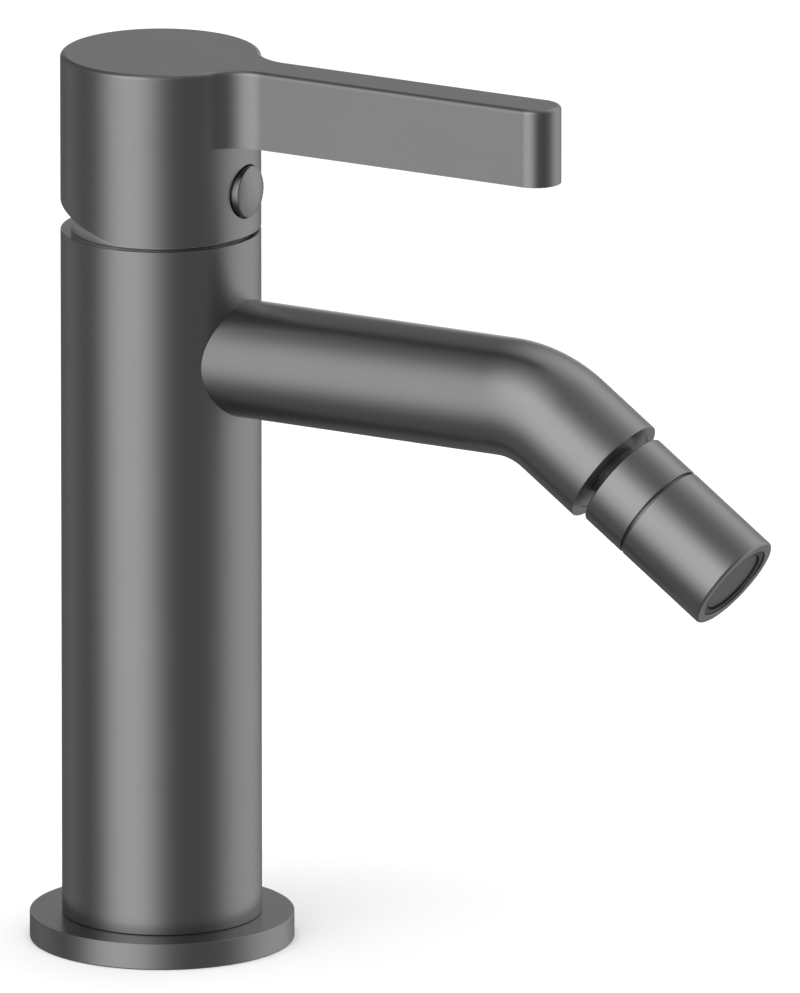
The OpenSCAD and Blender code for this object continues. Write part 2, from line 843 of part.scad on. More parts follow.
module disc_carrier() {
    r = moving_disc_d / 2;
    color(white_plastic)
        difference() {
            union() {
                ring(r, 0, moving_z1, carrier_z1);
                intersection() {
                    ring(r, 0, moving_z1 - lug_h, carrier_z1);
                    for (side = [-1, 1])
                        translate([0, side * r, moving_z1])
                            cube([lug_w, 2 * lug_l, 2 * lug_h], center = true);
                }
                for (side = [-1, 1])
                    translate([-guide_l / 2, side * guide_y - guide_w / 2, carrier_z1 - play])
                        cube([guide_l, guide_w, guide_h]);
            }
            translate([0, 0, tip_z - tip_r - play])
                cylinder(r = tip_r + tip_slack, h = carrier_h + over);
        }
}

module cartridge_stem() {
    color(steel)
        difference() {
            union() {
                translate([0, 0, tip_z])
                    sphere(r = tip_r);
                translate([-leg_half, -leg_half, tip_z])
                    cube([2 * leg_half, 2 * leg_half, pivot_z - tip_z]);
                translate([0, 0, pivot_z])
                    rotate([90, 0, 0])
                        cylinder(r = knuckle_r, h = blade_t, center = true);
                translate([-blade_w / 2, -blade_t / 2, pivot_z])
                    cube([blade_w, blade_t, head_z0 - pivot_z]);
                translate([-stem_w / 2, -stem_w / 2, head_z0])
                    cube([stem_w, stem_w, stem_head_l]);
            }
            translate([0, 0, pivot_z])
                rotate([90, 0, 0])
                    cylinder(r = pin_d / 2 + fit_gap, h = blade_t + 2 * over, center = true);
        }
}

// The outline of the rounded top edge, for a wall at the given radius
module edge_profile(r, h) {
    square([r, h - handle_edge_r]);
    square([r - handle_edge_r, h]);
    translate([r - handle_edge_r, h - handle_edge_r])
        circle(r = handle_edge_r);
}

// The cutter that leaves the hollow curve and its rounded top edge
module root_cutter() {
    r = root_r + root_step;
    rotate_extrude() {
        translate([0, -over])
            square([r, lever_h + 2 * over]);
        difference() {
            translate([0, lever_h - handle_edge_r])
                square([r + handle_edge_r, handle_edge_r + over]);
            translate([r + handle_edge_r, lever_h - handle_edge_r])
                circle(r = handle_edge_r);
        }
    }
}

// The wedge of the cap that the arm grows out of
module root_wedge(z0, z1) {
    translate([0, 0, z0])
        linear_extrude(height = z1 - z0)
            polygon([[0, 0], [root_x, -root_y], [root_x, root_y]]);
}

// The cap and the arm as one solid shape
module handle_outside() {
    end_x = lever_reach - arm_half;
    ring(col_r, 0, cap_z0, arm_z0);
    translate([0, 0, arm_z0]) {
        difference() {
            rotate_extrude()
                edge_profile(col_r, lever_h);
            root_wedge(-over, lever_h + over);
        }
        difference() {
            root_wedge(0, lever_h);
            for (side = [-1, 1])
                translate([root_x, side * root_y, 0])
                    root_cutter();
        }
        translate([root_x, 0, 0])
            rotate([90, 0, 90])
                linear_extrude(height = end_x - root_x) {
                    edge_profile(arm_half, lever_h);
                    mirror([1, 0])
                        edge_profile(arm_half, lever_h);
                }
        translate([end_x, 0, 0])
            rotate([0, 0, -90])
                rotate_extrude(angle = 180)
                    edge_profile(arm_half, lever_h);
    }
}

// The wedge cut away under the rear of the skirt, so that the lever can lift
module rear_cut() {
    run = col_r + over + rear_cut_x;
    translate([0, col_r + over, 0])
        rotate([90, 0, 0])
            linear_extrude(height = 2 * (col_r + over))
                polygon([
                    [rear_cut_x, cap_z0 - over], [rear_cut_x, cap_z0],
                    [rear_cut_x - run, cap_z0 + run * tan(rear_cut_angle)],
                    [rear_cut_x - run, cap_z0 - over]
                ]);
}

module lever_handle() {
    color(brushed)
        difference() {
            union() {
                difference() {
                    handle_outside();
                    translate([0, 0, cap_z0 - over])
                        cylinder(r = skirt_in_r, h = cavity_z1 - cap_z0 + over);
                    rear_cut();
                }
                translate([0, 0, boss_z0])
                    cylinder(d = boss_d, h = cavity_z1 - boss_z0 + over);
                intersection() {
                    translate([recess_x - plug_shank_l, 0, screw_z])
                        along_x()
                            cylinder(r = pad_r, h = col_r);
                    ring(col_r - skirt_wall / 2, 0, cap_z0, cap_z1 - lever_h);
                }
            }
            translate([-stem_w / 2 - fit_gap, -stem_w / 2 - fit_gap, boss_z0 - over])
                cube([stem_w + 2 * fit_gap, stem_w + 2 * fit_gap, head_z1 - boss_z0 + over + head_spare]);
            translate([0, 0, screw_z])
                along_x()
                    cylinder(r = screw_d / 2 + fit_gap, h = boss_d / 2 + over);
            translate([boss_d / 2 + over, 0, screw_z])
                along_x()
                    cylinder(r = plug_shank_d / 2 + fit_gap, h = col_r);
            translate([recess_x, 0, screw_z])
                along_x()
                    cylinder(d = plug_recess_d, h = col_r);
        }
}

module set_screw() {
    color(steel)
        translate([stem_w / 2, 0, screw_z])
            along_x()
                difference() {
                    cylinder(d = screw_d, h = screw_l);
                    translate([0, 0, screw_l - screw_hex])
                        cylinder(d = screw_hex / cos(30), h = screw_hex + over, $fn = 6);
                }
}

module cover_plug() {
    color(brushed)
        translate([recess_x, 0, screw_z])
            along_x()
                rotate_extrude() {
                    translate([0, -plug_shank_l])
                        square([plug_shank_d / 2, plug_shank_l]);
                    square([plug_d / 2, plug_edge_h]);
                    intersection() {
                        translate([0, plug_edge_h])
                            square([plug_d / 2, plug_dome_h]);
                        translate([0, plug_edge_h + plug_dome_h - dome_r])
                            circle(r = dome_r);
                    }
                }
}

module swivel_ball() {
    color(steel)
        on_nozzle_axis()
            difference() {
                union() {
                    intersection() {
                        translate([0, 0, ball_s])
                            sphere(r = ball_r);
                        translate([0, 0, ball_s - ball_r])
                            cylinder(r = 2 * ball_r, h = ball_r + ball_front);
                    }
                    translate([0, 0, neck_s0])
                        cylinder(r = neck_r, h = ball_s - neck_s0);
                }
                translate([0, 0, neck_s0 - over])
                    cylinder(d = ball_bore_d, h = ball_s1 - neck_s0 + 2 * over);
                ring(neck_r + over, clip_groove_r, clip_s0, clip_s0 + clip_h + 2 * play);
            }
}

module neck_clip() {
    color(steel)
        on_nozzle_axis()
            difference() {
                ring(chamber_r - clip_clear, clip_groove_r + seal_gap, clip_s0 + play, clip_s0 + play + clip_h);
                translate([0, -clip_opening / 2, clip_s0 - over])
                    cube([chamber_r + over, clip_opening, clip_h + 3 * over]);
            }
}

module ball_seat() {
    color(white_plastic)
        on_nozzle_axis()
            difference() {
                ring(seat_r, seat_hole_r, seat_s0, seat_s1);
                translate([0, 0, ball_s])
                    sphere(r = ball_r + ball_gap);
            }
}

module swivel_collar() {
    color(brushed)
        on_nozzle_axis()
            difference() {
                union() {
                    ring(nozzle_r, lip_hole_d / 2, collar_s0, collar_s0 + lip_h);
                    ring(nozzle_r, collar_bore_r, collar_s0 + lip_h, collar_s1);
                    ring(spigot_out_r, collar_bore_r, collar_s1, spigot_s1);
                }
                translate([0, 0, ball_s])
                    sphere(r = ball_r + ball_gap);
            }
}

module collar_ring() {
    mid = (seat_s1 + aerator_s0) / 2;
    r = (aerator_s0 - seat_s1) / 2 - play;
    color(rubber)
        on_nozzle_axis()
            rotate_extrude()
                translate([collar_bore_r - r - 2 * seal_gap, mid])
                    circle(r = r);
}

module nozzle_sleeve() {
    color(brushed)
        on_nozzle_axis()
            difference() {
                union() {
                    ring(nozzle_r, nozzle_bore_r, nozzle_s0, nozzle_s1 - nozzle_edge_r);
                    rotate_extrude()
                        intersection() {
                            translate([nozzle_bore_r, nozzle_s1 - nozzle_edge_r])
                                square([nozzle_r - nozzle_bore_r, nozzle_edge_r]);
                            union() {
                                translate([0, nozzle_s1 - nozzle_edge_r])
                                    square([nozzle_r - nozzle_edge_r, nozzle_edge_r]);
                                translate([nozzle_r - nozzle_edge_r, nozzle_s1 - nozzle_edge_r])
                                    circle(r = nozzle_edge_r);
                            }
                        }
                }
                ring(spigot_out_r + fit_gap, nozzle_bore_r - over, nozzle_s0 - over, spigot_s1);
            }
}

module aerator_housing() {
    color(white_plastic)
        on_nozzle_axis() {
            ring(aerator_neck_r, aerator_bore_r, aerator_s0, spigot_s1);
            ring(aerator_r, aerator_bore_r, spigot_s1, flow_s0);
            ring(aerator_r, flow_bore_r, flow_s0, ledge_s);
            ring(aerator_r, outlet_bore_r, ledge_s, aerator_s1);
        }
}

module flow_regulator() {
    color(plastic)
        on_nozzle_axis()
            difference() {
                ring(flow_r, 0, flow_s0, screen_s0);
                for (i = [1:regulator_holes])
                    rotate([0, 0, i * 360 / regulator_holes])
                        translate([regulator_ring_r, 0, flow_s0 - over])
                            cylinder(r = regulator_hole_r, h = regulator_h + 2 * over);
            }
}

module air_screen() {
    color(steel)
        on_nozzle_axis()
            difference() {
                ring(flow_r, 0, screen_s0, straightener_s0);
                hole_field(screen_s0, screen_h);
            }
}

// A hexagonal field of round holes around a central one
module hole_field(s0, h) {
    for (row = [-2:2])
        for (i = [0:4 - abs(row)])
            translate([
                (i - (4 - abs(row)) / 2) * straightener_pitch,
                row * straightener_pitch * sin(60),
                s0 - over
            ])
                cylinder(d = straightener_hole_d, h = h + 2 * over);
}

module flow_straightener() {
    color(white_plastic)
        on_nozzle_axis()
            difference() {
                ring(flow_r, 0, straightener_s0, straightener_s0 + straightener_h);
                hole_field(straightener_s0, straightener_h);
            }
}

module outlet_disc() {
    spoke = 1;
    color(plastic)
        on_nozzle_axis() {
            ring(outlet_d / 2, 0, outlet_s0, outlet_s1);
            for (i = [0:2])
                rotate([0, 0, i * 120])
                    intersection() {
                        translate([-over, -spoke / 2, ledge_s])
                            cube([nozzle_r, spoke, outlet_s0 - ledge_s]);
                        ring(outlet_bore_r - fit_gap, 0, ledge_s, outlet_s0);
                    }
        }
}

base_flange();
deck_seal();
column();
base_block();
base_block_ring();
hot_inlet_tube();
cold_inlet_tube();
tube_rings();
valve_body();
valve_body_rings();
spout();
adaptor_washer();
spout_adaptor();
neck_ring();
cartridge_plate();
port_seals();
fixed_disc();
cartridge_housing();
retaining_nut();
nut_cover();
cartridge_rotor();
pivot_pin();
moving_disc();
disc_carrier();
cartridge_stem();
lever_handle();
set_screw();
cover_plug();
swivel_ball();
neck_clip();
ball_seat();
swivel_collar();
collar_ring();
nozzle_sleeve();
aerator_housing();
flow_regulator();
air_screen();
flow_straightener();
outlet_disc();
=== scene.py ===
"""Looks of the bidet mixer: its visible pieces, their finishes, the studio and the camera.

Lengths are in metres. +Z is up, and +X runs along the spout and the lever.
"""

import json
import math
from collections import namedtuple

import bmesh
import bpy
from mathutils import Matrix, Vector


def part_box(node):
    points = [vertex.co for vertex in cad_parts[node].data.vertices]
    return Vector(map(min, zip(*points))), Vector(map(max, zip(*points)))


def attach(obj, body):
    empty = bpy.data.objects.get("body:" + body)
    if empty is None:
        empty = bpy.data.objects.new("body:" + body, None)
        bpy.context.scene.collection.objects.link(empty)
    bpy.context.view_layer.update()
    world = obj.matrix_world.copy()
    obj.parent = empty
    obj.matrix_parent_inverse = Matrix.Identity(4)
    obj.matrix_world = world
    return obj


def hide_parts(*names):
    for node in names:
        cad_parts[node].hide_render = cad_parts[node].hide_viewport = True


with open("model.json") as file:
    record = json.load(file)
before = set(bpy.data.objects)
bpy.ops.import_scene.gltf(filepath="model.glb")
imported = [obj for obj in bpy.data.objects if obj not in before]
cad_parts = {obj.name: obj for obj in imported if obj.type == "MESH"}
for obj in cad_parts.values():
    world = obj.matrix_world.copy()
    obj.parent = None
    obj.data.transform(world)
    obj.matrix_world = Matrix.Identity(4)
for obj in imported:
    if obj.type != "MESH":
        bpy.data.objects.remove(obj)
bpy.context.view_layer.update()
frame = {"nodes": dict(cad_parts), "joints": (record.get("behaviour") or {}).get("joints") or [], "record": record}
nodes = frame["nodes"]
joints = {joint["name"]: joint for joint in frame["joints"]}

MM = 0.001
ORIGIN = Vector((0, 0, 0))
FORWARD = Vector((1, 0, 0))
SIDE = Vector((0, 1, 0))
UP = Vector((0, 0, 1))

# Faces round a turned piece, across a rounded edge, along the spout's bend and over the plug's dome
TURN_STEPS = 256
ROUND_STEPS = 8
BEND_STEPS = 32
DOME_STEPS = 24

# A length below NOTHING is none, points closer than MERGED are one point, and a point closer than NEAR
# to a surface lies on it
NOTHING = 1e-9
MERGED = 0.001 * MM
NEAR = 0.02 * MM

# How a face's normal tells what the face is: how far it rises, and how well it fits a direction
RISES = 0.01
UPRIGHT = 0.2
FITS = 0.95
ROUNDING_BEGINS = 1e-3


# Sizes, read from the frame


def turned_size(node, centre=ORIGIN, axis=UP):
    """Lowest and highest place along the axis, and the outer and inner radius, of a round node."""
    places = []
    radii = []
    for vertex in nodes[node].data.vertices:
        offset = vertex.co - centre
        along = offset.dot(axis)
        places.append(along)
        radii.append((offset - axis * along).length)
    return min(places), max(places), max(radii), min(radii)


ball_centre = Vector(joints["nozzle_spin"]["pos_m"])
nozzle_axis = Vector(joints["nozzle_spin"]["axis"]).normalized()
nozzle_drop = math.acos(nozzle_axis.x)

flange_low, flange_high, flange_r, foot_r = turned_size("base_flange")
_, seal_high, seal_outer_r, seal_inner_r = turned_size("deck_seal")
column_low, column_high, column_r, _ = turned_size("column")
_, _, block_r, _ = turned_size("base_block")
valve_low, _, valve_r, _ = turned_size("valve_body")
cover_low, cover_high, cover_r, _ = turned_size("nut_cover")

# Places on the nozzle count along its axis, from the ball's centre
collar_start, _, collar_r, _ = turned_size("swivel_collar", ball_centre, nozzle_axis)
sleeve_start, sleeve_end, _, nozzle_bore_r = turned_size("nozzle_sleeve", ball_centre, nozzle_axis)
_, _, ball_r, _ = turned_size("swivel_ball", ball_centre, nozzle_axis)

spout_low, spout_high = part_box("spout")
spout_r = (spout_high.y - spout_low.y) / 2
_, handle_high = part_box("lever_handle")
plug_low, plug_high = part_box("cover_plug")
plug_z = (plug_low.z + plug_high.z) / 2
plug_r = (plug_high.z - plug_low.z) / 2


# Details that the frame doesn't give

# Roundings of edges, from the finest to the softest
finest_edge = 0.1 * MM
flange_top_edge = 0.12 * MM
plain_edge = 0.15 * MM
joint_edge = 0.2 * MM
soft_edge = 0.3 * MM
nozzle_end_edge = 0.5 * MM

# Room round the seal in its groove, and between pieces that stand in one another
seal_gap = 0.02 * MM
fit_gap = 0.05 * MM

# The spout: its skin begins inside the column, and the ball's gap parts its end from the collar
spout_z = spout_high.z - spout_r
spout_root_x = 0.75 * column_r
bend_r = 19 * MM
spout_bore_r = spout_r - 2 * MM
spout_bore_depth = 6 * MM
ball_gap = 2 * MM
spout_end = collar_start - ball_gap
corner = ball_centre + nozzle_axis * ((spout_z - ball_centre.z) / nozzle_axis.z)

# The nut cover: its wall, and the bevel and the flat ring on top
cover_wall = 1.2 * MM
cover_bevel_width = 1 * MM
cover_bevel_height = 1.3 * MM
cover_top_width = 5 * MM
cover_top_height = 0.6 * MM

# The nozzle: a hair slimmer than its solid, so that it stays in the solid's box
nozzle_r = collar_r - 0.005 * MM
groove_width = 0.5 * MM
groove_depth = 0.8 * MM
collar_end = sleeve_start - groove_width
spigot_end = sleeve_start + 1 * MM
collar_bore_r = ball_r + 0.3 * MM
lip_hole_r = 6.5 * MM
lip_end = collar_start + 1.35 * MM

# The handle: the arm, the middles of the hollow curves between arm and cap, and of the arm's round end
arm_width = 8.8 * MM
arm_low = handle_high.z - 13.4 * MM
handle_top_edge = 0.8 * MM
hollow_r = 9 * MM
hollow_y = arm_width / 2 + hollow_r
hollow_x = math.sqrt((column_r + hollow_r) ** 2 - hollow_y**2)
arm_end_x = handle_high.x - arm_width / 2

# The plug and its recess in the handle
plug_shank_r = 3.5 * MM
plug_rim_height = 1.5 * MM
plug_dome_height = 0.95 * MM
plug_soft_edge = 0.35 * MM
recess_r = 4.55 * MM
recess_fillet = 0.25 * MM


# Finishes

GUNMETAL = (0.31, 0.307, 0.307)
GUNMETAL_ROUGHNESS = 0.3
ACROSS_THE_AXIS = 3.0
ALONG_THE_RINGS = 0.15

FINE_GRAIN = {"scale": 900.0, "detail": 3.0}
BROAD_GRAIN = {"scale": 60.0, "detail": 2.0}
ROUGHNESS_CHANGE = 0.03
BUMP_DISTANCE = 0.2 * MM

# A Mix node's sockets for colours, which share their names with its other sockets
MIX_FIRST = 6
MIX_SECOND = 7
MIX_RESULT = 2


class Nodes:
    """A short way to build a node tree."""

    def __init__(self, tree):
        self.tree = tree
        tree.nodes.clear()

    def add(self, kind, inputs=None, **settings):
        """Adds a node, sets its properties, and links or sets its inputs."""
        node = self.tree.nodes.new(kind)
        for key, value in settings.items():
            setattr(node, key, value)
        for key, value in (inputs or {}).items():
            socket = node.inputs[key]
            if isinstance(value, bpy.types.NodeSocket):
                self.tree.links.new(value, socket)
            else:
                socket.default_value = value
        return node

    def math(self, operation, *values):
        """A Math node's result."""
        return self.add("ShaderNodeMath", dict(enumerate(values)), operation=operation).outputs[0]

    def noise(self, place, scale, detail):
        """A noise texture's value."""
        inputs = {"Vector": place, "Scale": scale, "Detail": detail}
        return self.add("ShaderNodeTexNoise", inputs).outputs["Fac"]

    def between(self, share, low, high):
        """Maps 0..1 to low..high."""
        inputs = {"Value": share, "To Min": low, "To Max": high}
        return self.add("ShaderNodeMapRange", inputs).outputs["Result"]


def material(name, colour, metallic, roughness, tint=0.04, grain=(1, 1, 1), bump=0.02, tilt=0.0):
    """A finish with slight changes of colour and roughness, and a fine grain.

    A large number in grain makes the grain fine along that axis. tilt turns the grain about Y.
    """
    finish = bpy.data.materials.new(name)
    finish.use_nodes = True
    finish.diffuse_color = (*colour, 1)
    tree = Nodes(finish.node_tree)
    place = tree.add("ShaderNodeTexCoord").outputs["Object"]
    tilted = tree.add("ShaderNodeMapping", {"Vector": place, "Rotation": (0, tilt, 0)}).outputs["Vector"]
    stretched = tree.add("ShaderNodeMapping", {"Vector": tilted, "Scale": grain}).outputs["Vector"]
    fine = tree.noise(stretched, **FINE_GRAIN)
    broad = tree.noise(place, **BROAD_GRAIN)
    darker = [share * (1 - tint) for share in colour]
    lighter = [min(1, share * (1 + tint)) for share in colour]
    shade = tree.add(
        "ShaderNodeMix",
        {"Factor": broad, MIX_FIRST: (*darker, 1), MIX_SECOND: (*lighter, 1)},
        data_type="RGBA",
    )
    bumps = tree.add("ShaderNodeBump", {"Height": fine, "Strength": bump, "Distance": BUMP_DISTANCE})
    shader = tree.add(
        "ShaderNodeBsdfPrincipled",
        {
            "Base Color": shade.outputs[MIX_RESULT],
            "Metallic": metallic,
            "Roughness": tree.between(fine, roughness - ROUGHNESS_CHANGE, roughness + ROUGHNESS_CHANGE),
            "Normal": bumps.outputs["Normal"],
        },
    )
    tree.add("ShaderNodeOutputMaterial", {"Surface": shader.outputs[0]})
    return finish


def gunmetal(name, grain, tilt=0.0):
    """Satin gun-metal with a fine grain."""
    return material(name, GUNMETAL, 1.0, GUNMETAL_ROUGHNESS, grain=grain, tilt=tilt)


grain_round_z = (ALONG_THE_RINGS, ALONG_THE_RINGS, ACROSS_THE_AXIS)
grain_round_x = (ACROSS_THE_AXIS, ALONG_THE_RINGS, ALONG_THE_RINGS)

finishes = {
    "gunmetal": gunmetal("gunmetal", grain_round_z),
    "gunmetal_spout": gunmetal("gunmetal_spout", grain_round_x),
    "gunmetal_nozzle": gunmetal("gunmetal_nozzle", grain_round_x, tilt=nozzle_drop),
    "brass": material("brass", (0.72, 0.55, 0.28), 1.0, 0.32, tint=0.08),
    "copper": material("copper", (0.75, 0.4, 0.26), 1.0, 0.35, tint=0.1),
    "rubber": material("rubber", (0.02, 0.02, 0.02), 0.0, 0.6, bump=0.1),
    "ceramic": material("ceramic", (0.8, 0.78, 0.72), 0.0, 0.2),
    "dark_plastic": material("dark_plastic", (0.035, 0.035, 0.036), 0.0, 0.45, bump=0.05),
    "pale_plastic": material("pale_plastic", (0.7, 0.7, 0.66), 0.0, 0.4, bump=0.05),
    "grey_plastic": material("grey_plastic", (0.07, 0.069, 0.069), 0.0, 0.42, bump=0.05),
    "plated": material("plated", (0.7, 0.68, 0.66), 1.0, 0.45),
    "steel": material("steel", (0.5, 0.5, 0.5), 1.0, 0.3),
}


def set_finish(mesh, finish):
    """Gives a mesh one finish, and no other."""
    mesh.materials.clear()
    mesh.materials.append(finishes[finish])


def new_piece(name, mesh, body, finish):
    """Puts a mesh into the scene as a piece of the given body."""
    piece = bpy.data.objects.new(name, mesh)
    bpy.context.scene.collection.objects.link(piece)
    set_finish(mesh, finish)
    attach(piece, body)
    return piece


# Turned shapes

# A circle of a skin: its middle, its axis and its radius, and the radial and axial share of the normal
Ring = namedtuple("Ring", "centre axis radius radial axial")


def rounded_section(corners):
    """Walks a closed section and rounds its corners.

    Each corner is (radius, height, rounding). The walk goes anticlockwise, with the solid on its left.
    Gives (place, outward normal) for each point, and two points where a corner is sharp.
    """
    points = []
    for index, (radius, height, rounding) in enumerate(corners):
        here = Vector((radius, height))
        before = (Vector(corners[index - 1][:2]) - here).normalized()
        after = (Vector(corners[(index + 1) % len(corners)][:2]) - here).normalized()
        normal_in = Vector((-before.y, before.x))
        normal_out = Vector((after.y, -after.x))
        if rounding <= 0:
            points += [(here, normal_in), (here, normal_out)]
            continue
        start = here + before * (rounding / math.tan(before.angle(after) / 2))
        bulges = before.x * after.y - before.y * after.x < 0
        reach = rounding if bulges else -rounding
        middle = start - normal_in * reach
        for step in range(ROUND_STEPS + 1):
            normal = normal_in.slerp(normal_out, step / ROUND_STEPS)
            points.append((middle + normal * reach, normal))
    return points


def arc(middle, middle_r, reach, start, end, steps):
    """The points of an arc of a section, from one turn to another.

    Gives (place along the axis, radius, radial share, axial share) for each point.
    """
    points = []
    for step in range(steps + 1):
        turn = start + (end - start) * step / steps
        radial = math.cos(turn)
        axial = math.sin(turn)
        points.append((middle + reach * axial, middle_r + reach * radial, radial, axial))
    return points


def directions_round(axis):
    """The directions square to an axis, one for each step round it."""
    first = SIDE.cross(axis)
    second = axis.cross(first)
    turns = [2 * math.pi * step / TURN_STEPS for step in range(TURN_STEPS)]
    return [first * math.cos(turn) + second * math.sin(turn) for turn in turns]


def band(start, ring, next_ring):
    """The faces between two rings. start is the number of the first ring's first point."""
    same_place = (ring.centre - next_ring.centre).length < NOTHING
    if same_place and abs(ring.radius - next_ring.radius) < NOTHING:
        return []
    faces = []
    for step in range(TURN_STEPS):
        here = start + step
        beside = start + (step + 1) % TURN_STEPS
        above_beside = beside + TURN_STEPS
        above = here + TURN_STEPS
        if ring.radius < NOTHING:
            faces.append((here, above_beside, above))
        elif next_ring.radius < NOTHING:
            faces.append((here, beside, above))
        else:
            faces.append((here, beside, above_beside, above))
    return faces


def lofted(name, rings):
    """Joins rings into a skin with true normals."""
    places = []
    normals = []
    for ring in rings:
        for out in directions_round(ring.axis):
            places.append(ring.centre + out * ring.radius)
            normals.append((out * ring.radial + ring.axis * ring.axial).normalized())
    faces = []
    for index, (ring, next_ring) in enumerate(zip(rings, rings[1:])):
        faces += band(index * TURN_STEPS, ring, next_ring)
    mesh = bpy.data.meshes.new(name)
    mesh.from_pydata(places, [], faces)
    mesh.shade_smooth()
    mesh.normals_split_custom_set_from_vertices(normals)
    return mesh


def turned(name, corners, centre=ORIGIN, axis=UP):
    """A turned skin: the rounded section swept round the axis."""
    rings = [
        Ring(centre + axis * place.y, axis, place.x, normal.x, normal.y)
        for place, normal in rounded_section(corners)
    ]
    return lofted(name, rings + rings[:1])


# The turned pieces


def base_flange_skin():
    """The flange, with the seal's groove below."""
    groove_inner_r = seal_inner_r - seal_gap
    groove_outer_r = seal_outer_r + seal_gap
    groove_top = seal_high + seal_gap
    corners = [
        (foot_r, flange_low, 0),
        (groove_inner_r, flange_low, 0),
        (groove_inner_r, groove_top, 0),
        (groove_outer_r, groove_top, 0),
        (groove_outer_r, flange_low, 0),
        (flange_r, flange_low, plain_edge),
        (flange_r, flange_high, flange_top_edge),
        (foot_r, flange_high, 0),
    ]
    return turned("base_flange_skin", corners)


def column_skin():
    """The column, with its foot in the flange and its bores for the block and the valve body."""
    foot_outer_r = foot_r - fit_gap
    low_bore_r = block_r + fit_gap
    high_bore_r = valve_r + fit_gap
    corners = [
        (low_bore_r, column_low, 0),
        (foot_outer_r, column_low, 0),
        (foot_outer_r, flange_high, 0),
        (column_r, flange_high, joint_edge),
        (column_r, column_high, plain_edge),
        (high_bore_r, column_high, plain_edge),
        (high_bore_r, valve_low, 0),
        (low_bore_r, valve_low, 0),
    ]
    return turned("column_skin", corners)


def nut_cover_skin():
    """The bevelled ring between the column and the handle."""
    top_inner_r = cover_r - cover_top_width
    corners = [
        (cover_r - cover_wall, cover_low, 0),
        (cover_r, cover_low, finest_edge),
        (cover_r, cover_high - cover_bevel_height, soft_edge),
        (cover_r - cover_bevel_width, cover_high, soft_edge),
        (top_inner_r, cover_high, 0),
        (top_inner_r, cover_high - cover_top_height, 0),
    ]
    return turned("nut_cover_skin", corners)


def swivel_collar_skin():
    """The collar: its lip behind the ball, and the spigot that carries the nozzle's sleeve."""
    spigot_r = nozzle_r - groove_depth
    corners = [
        (lip_hole_r, collar_start, finest_edge),
        (nozzle_r, collar_start, soft_edge),
        (nozzle_r, collar_end, joint_edge),
        (spigot_r, collar_end, 0),
        (spigot_r, spigot_end, 0),
        (collar_bore_r, spigot_end, 0),
        (collar_bore_r, lip_end, 0),
        (lip_hole_r, lip_end, 0),
    ]
    return turned("swivel_collar_skin", corners, ball_centre, nozzle_axis)


def nozzle_sleeve_skin():
    """The nozzle's sleeve."""
    corners = [
        (nozzle_bore_r, sleeve_start, 0),
        (nozzle_r, sleeve_start, joint_edge),
        (nozzle_r, sleeve_end, nozzle_end_edge),
        (nozzle_bore_r, sleeve_end, finest_edge),
    ]
    return turned("nozzle_sleeve_skin", corners, ball_centre, nozzle_axis)


def spout_skin():
    """The spout: straight, round the bend, straight again, over its end and into its bore."""
    bend_start = corner - FORWARD * (bend_r * math.tan(nozzle_drop / 2))
    bend_middle = bend_start - UP * bend_r
    root = Vector((spout_root_x, 0, spout_z))
    rings = [Ring(place, FORWARD, spout_r, 1, 0) for place in (root, bend_start)]
    for step in range(1, BEND_STEPS + 1):
        turn = nozzle_drop * step / BEND_STEPS
        out = Vector((math.sin(turn), 0, math.cos(turn)))
        axis = Vector((math.cos(turn), 0, -math.sin(turn)))
        rings.append(Ring(bend_middle + out * bend_r, axis, spout_r, 1, 0))
    section = arc(spout_end - joint_edge, spout_r - joint_edge, joint_edge, 0, math.pi / 2, ROUND_STEPS)
    section += [
        (spout_end, spout_bore_r, 0, 1),
        (spout_end, spout_bore_r, -1, 0),
        (spout_end - spout_bore_depth, spout_bore_r, -1, 0),
    ]
    for along, radius, radial, axial in section:
        rings.append(Ring(ball_centre + nozzle_axis * along, nozzle_axis, radius, radial, axial))
    return lofted("spout_skin", rings)


def cover_plug_skin():
    """The cover plug: a shank, a short rim, a soft edge and a shallow dome."""
    head_x = plug_high.x - plug_dome_height - plug_rim_height
    dome_r = (plug_r**2 + plug_dome_height**2) / (2 * plug_dome_height)
    dome_x = plug_high.x - dome_r
    # The soft edge rolls inside the rim and the dome
    soft_r = plug_r - plug_soft_edge
    soft_x = dome_x + math.sqrt((dome_r - plug_soft_edge) ** 2 - soft_r**2)
    edge_turn = math.atan2(soft_x - dome_x, soft_r)
    section = [
        (plug_low.x, 0, 0, -1),
        (plug_low.x, plug_shank_r, 0, -1),
        (plug_low.x, plug_shank_r, 1, 0),
        (head_x, plug_shank_r, 1, 0),
        (head_x, plug_shank_r, 0, -1),
        (head_x, plug_r, 0, -1),
        (head_x, plug_r, 1, 0),
    ]
    section += arc(soft_x, soft_r, plug_soft_edge, 0, edge_turn, ROUND_STEPS)
    section += arc(dome_x, 0, dome_r, edge_turn, math.pi / 2, DOME_STEPS)[1:]
    middle = UP * plug_z
    rings = [
        Ring(middle + FORWARD * place, FORWARD, radius, radial, axial)
        for place, radius, radial, axial in section
    ]
    return lofted("cover_plug_skin", rings)


# The handle and the ball, which keep their solids' faces


def with_true_normals(mesh, normal_at):
    """Shades a mesh smoothly. normal_at gives the normal at a place of a face, from its flat normal too."""
    mesh.shade_smooth()
    normals = []
    for face in mesh.polygons:
        flat = face.normal.copy()
        for index in face.vertices:
            normals.append(normal_at(face, flat, mesh.vertices[index].co))
    mesh.normals_split_custom_set(normals)
    return mesh


def handle_wall(place):
    """The part of the handle's outer wall that a place lies on: round end, flat arm, hollow or cap."""
    if place.x > arm_end_x:
        return "end"
    if place.x > hollow_x:
        return "arm"
    if place.z > arm_low and abs(place.y) < place.x * hollow_y / hollow_x:
        return "hollow"
    return "cap"


